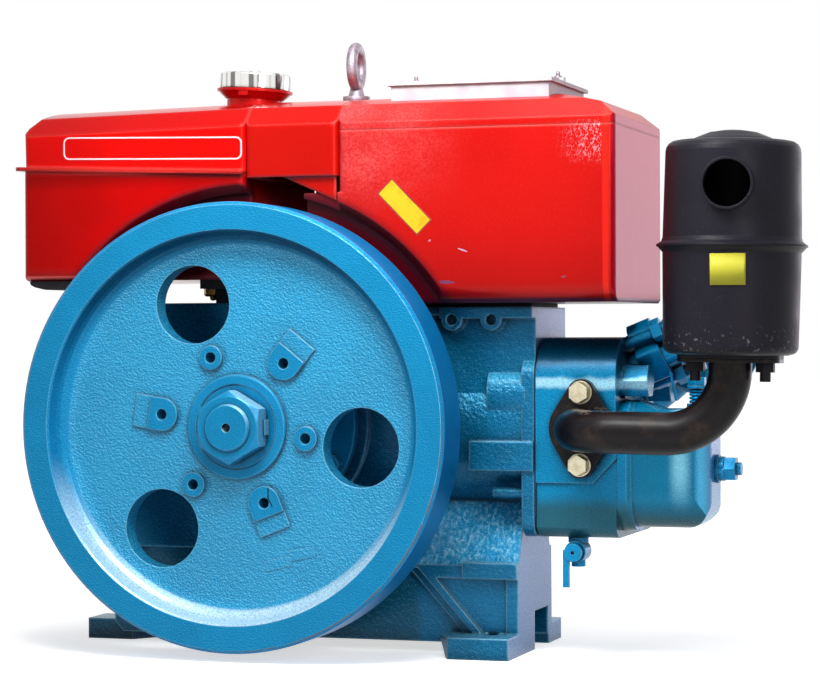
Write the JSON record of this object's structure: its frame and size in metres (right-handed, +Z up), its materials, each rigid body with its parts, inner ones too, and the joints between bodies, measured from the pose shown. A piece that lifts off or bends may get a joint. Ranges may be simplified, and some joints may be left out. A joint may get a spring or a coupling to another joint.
{
  "type": "single-cylinder diesel engine",
  "caption": "Horizontal water-cooled diesel engine with flywheel, fuel tank, water hopper, silencer and feet; the crankshaft and the drain cock's lever turn.",
  "frame": {"origin": "on the crankshaft axis, in the plane of the flywheel's pulley bosses", "axes": "+X to the cylinder head, -Y out of the flywheel, +Z up"},
  "size_m": [0.6489, 0.3467, 0.491],
  "materials": {
    "blue_casting": "metallic sky-blue paint over rough sand-cast iron",
    "blue_fittings": "metallic sky-blue paint over smooth metal",
    "bare_steel": "turned steel, lightly oiled",
    "gasket": "black sheet gasket",
    "black_metal": "satin heat-resistant black",
    "yellow_zinc": "yellow passivated zinc",
    "red_metal": "deep metallic red enamel on sheet steel",
    "pale_metal": "pale zinc-coated sheet",
    "black_rubber": "matt black rubber",
    "chrome": "bright chrome",
    "grey_steel": "dull forged steel",
    "black_plastic": "matt black plastic"
  },
  "bodies": {
    "engine": {"crankcase": "blue_casting", "bearing_cover": "blue_casting", "end_cover": "blue_casting", "gear_case_cover": "blue_casting", "starting_shaft": "bare_steel", "head_gasket": "gasket", "cylinder_head": "blue_casting", "rocker_cover": "blue_fittings", "rocker_cover_bolt": "blue_fittings", "injector": "blue_fittings", "injector_clamp": "blue_fittings", "injector_studs": "blue_fittings", "injection_pump": "blue_casting", "fuel_pipe": "blue_fittings", "decompression_stud": "blue_fittings", "exhaust_elbow": "black_metal", "exhaust_bolts": "yellow_zinc", "silencer_lower": "black_metal", "silencer_upper": "black_metal", "silencer_studs": "black_metal", "intake_elbow": "blue_casting", "air_cleaner": "blue_fittings", "hopper_gasket": "gasket", "hopper_shell": "red_metal", "hopper_roof": "red_metal", "hopper_collar": "pale_metal", "hopper_lid": "pale_metal", "tank_lower": "red_metal", "tank_upper": "red_metal", "bridge_cover": "red_metal", "tank_strips": "black_rubber", "tank_bracket": "black_metal", "filler_neck": "red_metal", "fuel_cap": "chrome", "fuel_tap": "yellow_zinc", "lifting_eye": "grey_steel", "drain_cock": "blue_fittings", "speed_lever": "bare_steel", "dipstick": "black_plastic"},
    "flywheel_set": {"flywheel": "blue_casting", "crankshaft_end": "bare_steel", "tab_washer": "blue_fittings", "flywheel_nut": "blue_fittings"},
    "drain_lever_body": {"drain_lever": "blue_fittings"}
  },
  "joints": [
    {"name": "crankshaft_turn", "type": "hinge", "parent": "engine", "child": "flywheel_set", "pos_m": [0, 0, 0], "axis": [0, 1, 0], "continuous": true},
    {"name": "drain_lever_turn", "type": "hinge", "parent": "engine", "child": "drain_lever_body", "pos_m": [0.2525, 0.088, -0.098], "axis": [0, -1, 0], "range_deg": [0, 90]}
  ]
}
